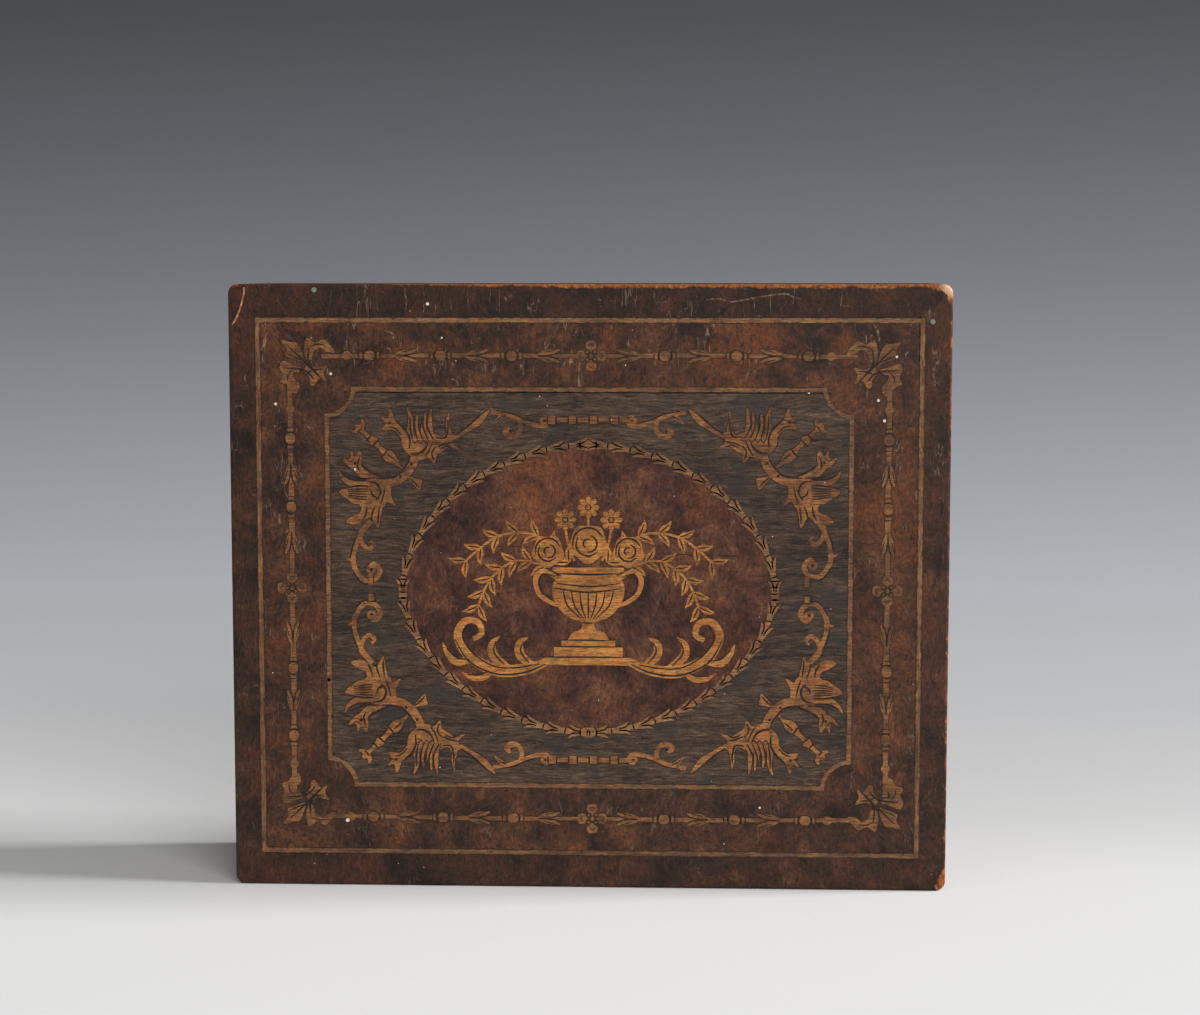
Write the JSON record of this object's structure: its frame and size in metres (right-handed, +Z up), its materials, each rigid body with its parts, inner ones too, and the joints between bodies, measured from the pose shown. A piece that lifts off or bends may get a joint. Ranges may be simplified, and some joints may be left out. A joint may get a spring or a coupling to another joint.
{
  "type": "playing card box",
  "caption": "Flat hinged wooden box for packs of playing cards, with a veneered marquetry lid, divided bays and a trough inside, standing on its front wall.",
  "frame": {"origin": "on the floor under the middle of the box as it stands on its front wall", "axes": "+X along the width, towards the viewer's right; +Y through the thickness, from the lid's face to the base; +Z up, from the front wall to the hinged back wall"},
  "size_m": [0.15, 0.038, 0.127],
  "materials": {
    "burr_walnut": "old polish over mottled red-brown burr veneer",
    "dark_burr": "old polish over dark brown veneer",
    "rosewood": "old polish over dark straight-grained veneer",
    "boxwood": "polished light inlay",
    "poplar": "bare core wood",
    "walnut": "waxed",
    "lining_paper": "matt lining paper",
    "brass": "dulled with age",
    "steel": "bright drawn pin"
  },
  "bodies": {
    "case": {"base_board": "poplar", "front_wall": "walnut", "back_wall": "walnut", "left_wall": "walnut", "right_wall": "walnut", "case_front_veneer": "dark_burr", "case_back_veneer": "dark_burr", "case_left_veneer": "dark_burr", "case_right_veneer": "dark_burr", "trough_rail": "walnut", "divider": "walnut", "left_bay_lining": "lining_paper", "right_bay_lining": "lining_paper", "trough_lining": "lining_paper", "left_hinge_case_leaf": "brass", "right_hinge_case_leaf": "brass", "left_hinge_pin": "steel", "right_hinge_pin": "steel", "left_hinge_case_screw_outer": "brass", "left_hinge_case_screw_inner": "brass", "right_hinge_case_screw_outer": "brass", "right_hinge_case_screw_inner": "brass"},
    "lid": {"lid_board": "poplar", "lid_front_rail": "walnut", "lid_back_rail": "walnut", "lid_left_rail": "walnut", "lid_right_rail": "walnut", "lid_front_veneer": "dark_burr", "lid_back_veneer": "dark_burr", "lid_left_veneer": "dark_burr", "lid_right_veneer": "dark_burr", "lid_lining": "lining_paper", "banding_front": "dark_burr", "banding_back": "dark_burr", "banding_left": "dark_burr", "banding_right": "dark_burr", "stringing_front": "boxwood", "stringing_back": "boxwood", "stringing_left": "boxwood", "stringing_right": "boxwood", "border_front": "burr_walnut", "border_back": "burr_walnut", "border_left": "burr_walnut", "border_right": "burr_walnut", "inner_stringing": "boxwood", "ground_panel": "rosewood", "oval_wreath": "boxwood", "oval_panel": "burr_walnut", "left_hinge_lid_leaf": "brass", "right_hinge_lid_leaf": "brass", "left_hinge_lid_screw_outer": "brass", "left_hinge_lid_screw_inner": "brass", "right_hinge_lid_screw_outer": "brass", "right_hinge_lid_screw_inner": "brass"}
  },
  "joints": [
    {"name": "lid_hinge", "type": "hinge", "parent": "case", "child": "lid", "pos_m": [0, -0.00685, 0.1254], "axis": [-1, 0, 0], "range_deg": [0, 100]}
  ]
}
